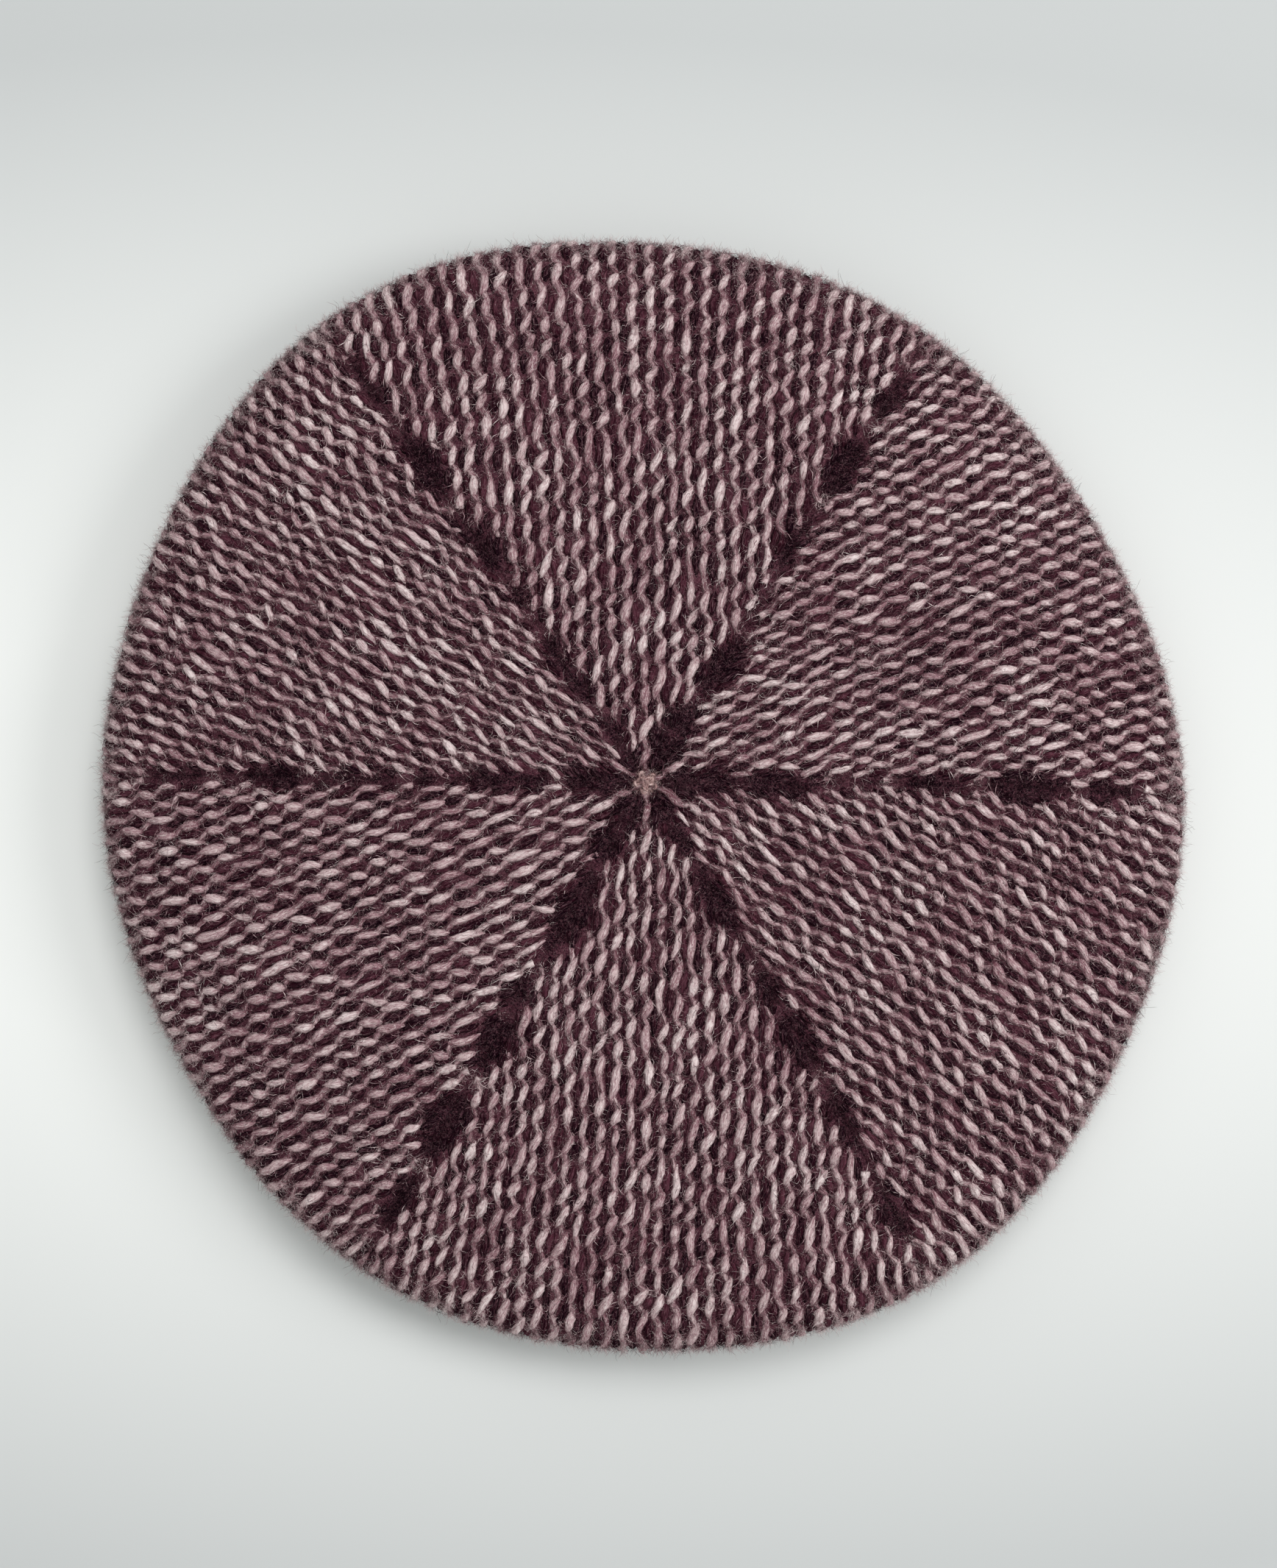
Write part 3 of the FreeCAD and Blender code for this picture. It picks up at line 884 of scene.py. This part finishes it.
def rib_leg(yarn, angle, hand, face, rng):
    """One leg of a column of knit stitches, on the band's outside (face 1) or inside (face -1)."""
    length = band_end - edge_box[1][2] - increase_end
    s = np.linspace(increase_end - 1, increase_end + length + 0.6, round(length / rib_row * 5))
    turns = (s - increase_end) / rib_row
    index = np.round(turns).astype(int) - round(turns[0])
    stitch = 1 - smooth(np.abs(turns - np.round(turns)), 0.1, 0.5)
    tone = rng.uniform(0, 1, index.max() + 1)[index]
    radius = np.interp(s, walk.s, walk.r)
    lateral = hand * (leg_offset + leg_swing * np.cos(2 * math.pi * turns - 1.2))
    line = place(s, angle + lateral / radius, face * (fabric / 2 - 0.35 + 0.35 * stitch))
    up = outward(s, angle + lateral / radius) * face
    width = 0.42 + 0.24 * stitch
    # painted shade: each stitch is painted darker where its leg dips between stitches and lighter on its
    # raised middle
    shade = 0.42 + 0.35 * stitch + 0.3 * tone
    yarn.lay(line[None], up[None], width[None], 0.8, shade[None], 5)


def band():
    """The single ribbed band, with knit columns on its outside and, between them, on its inside."""
    shell("ribbed_band_ground", "ribbed_band", increase_end, band_end - edge_box[1][2], 0.9,
          ribs=rib_count)
    for face, side_name, seed in ((1, "outer", 700), (-1, "inner", 800)):
        rng = np.random.default_rng(seed)
        yarn = Yarn()
        for rib in range(rib_count):
            angle = (rib + (0 if face > 0 else 0.5)) * 2 * math.pi / rib_count
            for hand in (-1, 1):
                rib_leg(yarn, angle, hand, face, rng)
        yarn.grow(5000, rng, **lying)
        yarn.piece("ribbed_band_%s_ribs" % side_name, rib_wool, "band_rib", "ribbed_band")


def cast_on_edge():
    """The cast-on edge: a two-ply cord of yarn round the opening, with one twist to each rib."""
    yarn = Yarn()
    around = np.linspace(0, 2 * math.pi * 1.001, rib_count * 9)
    middle = edge_box[1][2] / 2
    for ply in (0.0, math.pi):
        twist = rib_count * around + ply
        s = band_end - middle + edge_twist * np.cos(twist)
        line = place(s, around, 0.35 + edge_twist * np.sin(twist))
        up = outward(np.full(len(around), band_end - middle), around)
        width = 0.66 + 0.03 * lump_noise(around * 60, ply)
        shade = 0.4 + 0.25 * lump_noise(around * 40, ply + 9.0)
        yarn.lay(line[None], up[None], width[None], 1.0, shade[None], 7)
    yarn.grow(1500, np.random.default_rng(900), **tail_fibre)
    yarn.piece("cast_on_edge_cord", rib_wool, "band_edge", "cast_on_edge")


# -------- yarn on the inside
def walk_distance(radius, s_from, s_to):
    """How far along the walk a radius is reached, between two distances."""
    within = (walk.s >= s_from) & (walk.s <= s_to)
    order = np.argsort(walk.r[within])
    return float(np.interp(radius, walk.r[within][order], walk.s[within][order]))


def yarn_tail(node, s_from, s_to, angle, material, slot):
    """A yarn end woven in along the fabric's inner face."""
    low, high = node_box(node)
    reach = sorted((math.hypot(low[0], low[1]), math.hypot(high[0], high[1])))
    ends = sorted(walk_distance(radius, s_from, s_to) for radius in reach)
    s = np.linspace(ends[0] + 0.5, ends[1] - 0.5, 70)
    radius = np.interp(s, walk.s, walk.r)
    turn = angle + 0.45 * np.sin(s * 0.9) / radius
    line = place(s, turn, -fabric / 2 - 0.15 + 0.12 * np.cos(s * 1.8))
    up = outward(s, turn)
    along = unit(np.gradient(line, axis=0))
    side = unit(np.cross(up, along))
    yarn = Yarn()
    shade = 0.4 + 0.3 * lump_noise(s / 1.5, 3.0)
    width = np.full(len(s), 0.3)
    for ply in (0.0, math.pi):
        twist = s * 2.2 + ply
        plied = line + side * (0.26 * np.cos(twist))[:, None] + up * (0.2 * np.sin(twist))[:, None]
        yarn.lay(plied[None], -up[None], width[None], 1.0, shade[None], 6)
    yarn.grow(240, np.random.default_rng(1000), **tail_fibre)
    yarn.piece(node + "_yarn", material, slot, node)


def floats():
    """The pale yarn's short strands across the inside of the crown, behind the plum stitches."""
    float_length, float_gap, points = (2.5, 5.0), (1.5, 4.0), 5
    sag = 0.25 * np.sin(math.pi * np.linspace(0, 1, points))
    width = 0.5 * (0.6 + 1.6 * sag)
    rng = np.random.default_rng(1100)
    yarn = Yarn()
    for s in np.arange(12.0, crown_end - 30, repeat / 2):
        angle = 0.0
        while angle < 2 * math.pi - 0.02:
            length = rng.uniform(*float_length) / s
            turn = np.linspace(angle, angle + length, points)
            distance = np.full(points, s + rng.normal(0, 0.3))
            line = place(distance, turn, -fabric / 2 + 0.3 - 1.6 * sag)
            up = -outward(distance, turn)
            shade = np.full(points, rng.uniform(0.1, 0.8))
            yarn.lay(line[None], up[None], width[None], 0.7, shade[None], 5)
            angle += length + rng.uniform(*float_gap) / s
    wedges = ["crown_wedge_%d" % (index + 1) for index in range(section_count)]
    yarn.piece("crown_inside_floats", pale_wool, "pale_yarn", *wedges)


for wedge in range(section_count):
    crown_wedge(wedge)
    decrease_line(wedge)
ring_of_panels("rim", "rim_turn", crown_end, rim_end, 300, rim_fibres, step=1.3)
ring_of_panels("underside", "underside", rim_end, underside_end, 400, underside_fibres, step=1.7)
crown_centre()
increase_round()
band()
cast_on_edge()
yarn_tail("crown_yarn_tail", centre_end, crown_end, math.radians(30), closing_wool, "closing_yarn")
yarn_tail("pattern_yarn_tail", rim_end, underside_end, math.radians(210), pale_wool, "pale_yarn")
floats()


# -------- floor, light and camera
def studio():
    """A pale floor, painted with a pool of light that darkens towards its edges, under broad soft light
    from the right, and the camera straight overhead.
    """
    mesh = bpy.data.meshes.new("floor")
    reach = 3.0
    corners = [(-reach, -reach, 0), (reach, -reach, 0), (reach, reach, 0), (-reach, reach, 0)]
    mesh.from_pydata(corners, [], [(0, 1, 2, 3)])
    floor = in_scene("floor", mesh)
    material, nodes, links, shader = matte("pale_paper_painted_light_pool", 0.9)
    where = nodes.new("ShaderNodeTexCoord")
    light_pool_squeezed = nodes.new("ShaderNodeVectorMath")
    light_pool_squeezed.operation = "MULTIPLY"
    light_pool_squeezed.inputs[1].default_value = (0.45, 1.0, 1.0)
    links.new(where.outputs["Object"], light_pool_squeezed.inputs[0])
    distance = nodes.new("ShaderNodeVectorMath")
    distance.operation = "DISTANCE"
    distance.inputs[1].default_value = (-0.022, -0.01, 0.0)
    links.new(light_pool_squeezed.outputs["Vector"], distance.inputs[0])
    # painted light: the floor's colour is brightest round one spot near the middle and darker outwards, a
    # painted pool of light with darkened corners
    colours = colour_ramp(nodes, ((0.07, (232, 233, 231)), (0.21, (188, 190, 190))))
    links.new(distance.outputs["Value"], colours.inputs["Fac"])
    links.new(colours.outputs["Color"], shader.inputs["Base Color"])
    mesh.materials.append(material)

    world = bpy.data.worlds.new("soft_room")
    bpy.context.scene.world = world
    world.use_nodes = True
    sky = world.node_tree.nodes["Background"]
    sky.inputs["Color"].default_value = (0.97, 1.0, 0.99, 1)
    sky.inputs["Strength"].default_value = 0.66

    def lamp(name, place_at, size, power):
        light = bpy.data.lights.new(name, "AREA")
        light.shape = "DISK"
        light.size = size
        light.energy = power
        holder = in_scene(name, light)
        holder.location = place_at
        holder.rotation_mode = "QUATERNION"
        holder.rotation_quaternion = (-Vector(place_at)).to_track_quat("-Z", "Y")

    lamp("far_window", (0.35, 1.0, 1.7), 1.0, 17.0)
    lamp("side_window", (1.6, 0.1, 1.1), 0.9, 14.0)

    camera_height = 0.62
    rim_height = 0.012
    seen_height = 0.403  # how much of the level at the rim's height is in view
    camera = bpy.data.cameras.new("camera")
    camera.sensor_width = 36.0
    camera.lens = camera.sensor_width * (camera_height - rim_height) / seen_height
    holder = in_scene("camera", camera)
    holder.location = (-0.0005, 0.0032, camera_height)
    bpy.context.scene.camera = holder
    bpy.context.scene.view_settings.view_transform = "Standard"


studio()
